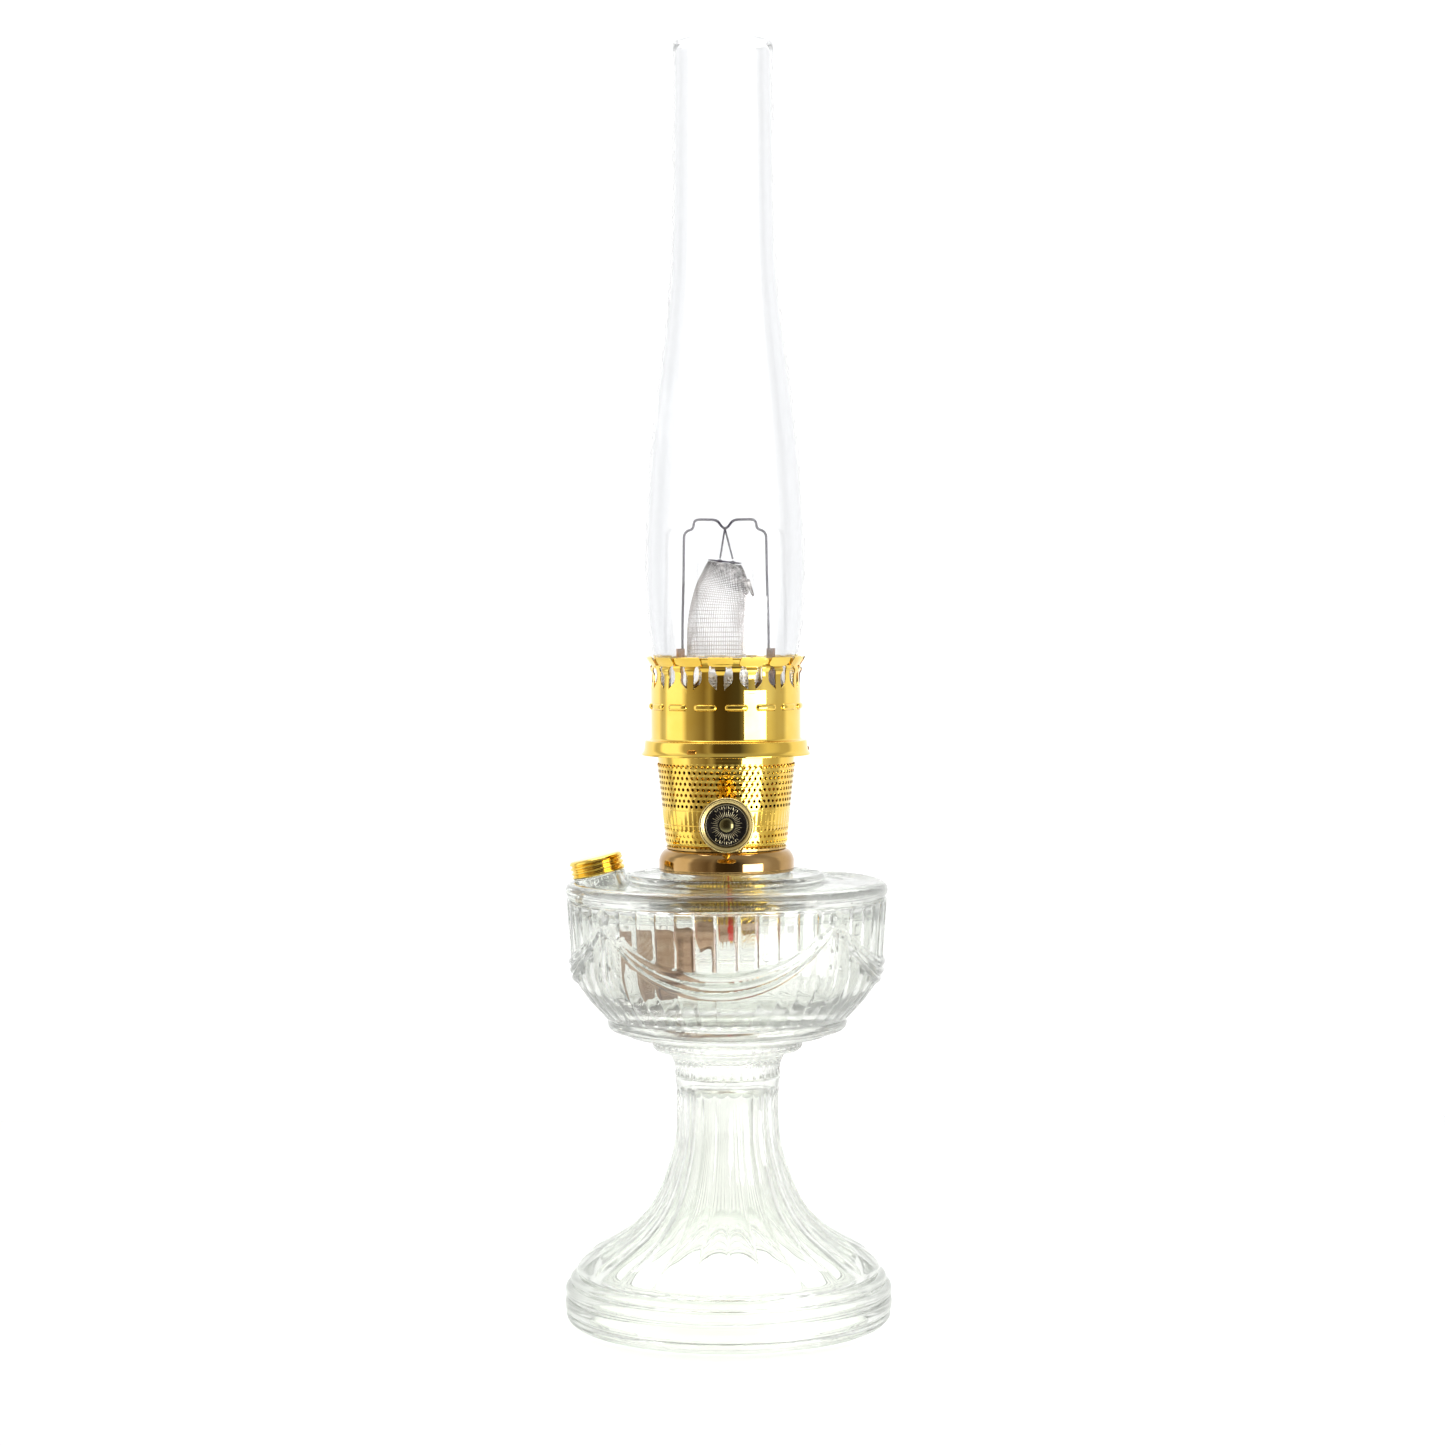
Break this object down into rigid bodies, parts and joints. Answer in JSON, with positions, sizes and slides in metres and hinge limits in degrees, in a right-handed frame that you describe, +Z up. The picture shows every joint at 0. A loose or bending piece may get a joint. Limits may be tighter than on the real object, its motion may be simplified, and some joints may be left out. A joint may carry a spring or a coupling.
{
  "type": "oil lamp",
  "caption": "Glass table oil lamp: hollow fluted pedestal, ribbed and draped font, screw-in brass burner with geared wick raiser, hung mantle and tall chimney.",
  "frame": {"origin": "on the lamp's axis in the plane it rests on", "axes": "+Z up along the chimney; -Y towards the wick knob; -X towards the filler cap"},
  "size_m": [0.1592, 0.1592, 0.6178],
  "materials": {
    "clear_glass": "thick pressed clear glass, ribbed and fluted, polished",
    "chimney_glass": "thin blown clear glass, polished",
    "plaster": "matt plaster of Paris",
    "collar_brass": "polished, slightly red brass",
    "cork": "fine cork sheet",
    "brass": "polished yellow brass",
    "black_enamel": "glossy black enamel",
    "cotton": "woven beige cotton",
    "dark_wire": "dark heat-coloured steel wire",
    "copper": "tarnished copper-coloured clip",
    "dark_clip": "dark brown heat-stained clip",
    "gauze": "white gauze mantle, greyed by soot"
  },
  "bodies": {
    "lamp_base": {"glass_pedestal": "clear_glass", "glass_font": "clear_glass", "font_collar": "collar_brass", "collar_plaster": "plaster"},
    "cap_thread": {"cap_liner": "cork"},
    "filler_cap": {"filler_cap": "brass"},
    "burner_thread": {"burner_thread_ring": "brass"},
    "burner": {"burner_basket": "brass", "burner_floor": "brass", "outer_wick_tube": "brass", "draft_tube": "brass", "air_duct_left": "brass", "air_duct_right": "brass", "burner_cone": "brass", "flame_spreader": "brass", "spindle_bush": "brass"},
    "wick_knob": {"raiser_pinion": "brass", "knob_spindle": "brass", "knob_rim": "brass", "knob_disc": "black_enamel", "knob_button": "brass"},
    "wick": {"wick_carrier": "brass", "wick": "cotton", "wick_tail_front": "cotton", "wick_tail_back": "cotton"},
    "gallery": {"gallery": "brass", "chimney_seat": "brass"},
    "mantle": {"mantle_ring": "dark_wire", "bail_socket_left": "copper", "bail_socket_right": "dark_clip", "mantle_bail": "dark_wire", "mantle_hanger": "dark_wire", "mantle_bar": "dark_wire", "mantle_sock": "gauze"},
    "chimney": {"chimney": "chimney_glass"}
  },
  "joints": [
    {"name": "filler_cap_lift", "type": "slide", "parent": "lamp_base", "child": "cap_thread", "axis": [-0.2233, 0, 0.9748], "range_m": [0, 0.0024]},
    {"name": "filler_cap_turn", "type": "hinge", "parent": "cap_thread", "child": "filler_cap", "pos_m": [-0.061, 0, 0.213], "axis": [-0.2233, 0, 0.9748], "range_deg": [0, 360]},
    {"name": "burner_lift", "type": "slide", "parent": "lamp_base", "child": "burner_thread", "axis": [0, 0, 1], "range_m": [0, 0.0036]},
    {"name": "burner_turn", "type": "hinge", "parent": "burner_thread", "child": "burner", "pos_m": [0, 0, 0.23], "axis": [0, 0, 1], "range_deg": [0, 720]},
    {"name": "knob_turn", "type": "hinge", "parent": "burner", "child": "wick_knob", "pos_m": [0, -0.04, 0.2447], "axis": [0, 1, 0], "range_deg": [0, 137.5]},
    {"name": "wick_lift", "type": "slide", "parent": "burner", "child": "wick", "axis": [0, 0, 1], "range_m": [0, 0.009]},
    {"name": "gallery_turn", "type": "hinge", "parent": "burner", "child": "gallery", "pos_m": [0, 0, 0.278], "axis": [0, 0, 1], "range_deg": [0, 25]},
    {"name": "mantle_turn", "type": "hinge", "parent": "gallery", "child": "mantle", "pos_m": [0, 0, 0.304], "axis": [0, 0, 1], "range_deg": [0, 20]},
    {"name": "chimney_lift", "type": "slide", "parent": "gallery", "child": "chimney", "axis": [0, 0, 1], "range_m": [0, 0.1]}
  ],
  "couplings": [
    {"joint": "filler_cap_lift", "follows": "filler_cap_turn", "m_per_rad": 0.00038},
    {"joint": "burner_lift", "follows": "burner_turn", "m_per_rad": 0.000286},
    {"joint": "wick_lift", "follows": "knob_turn", "m_per_rad": 0.00375}
  ]
}
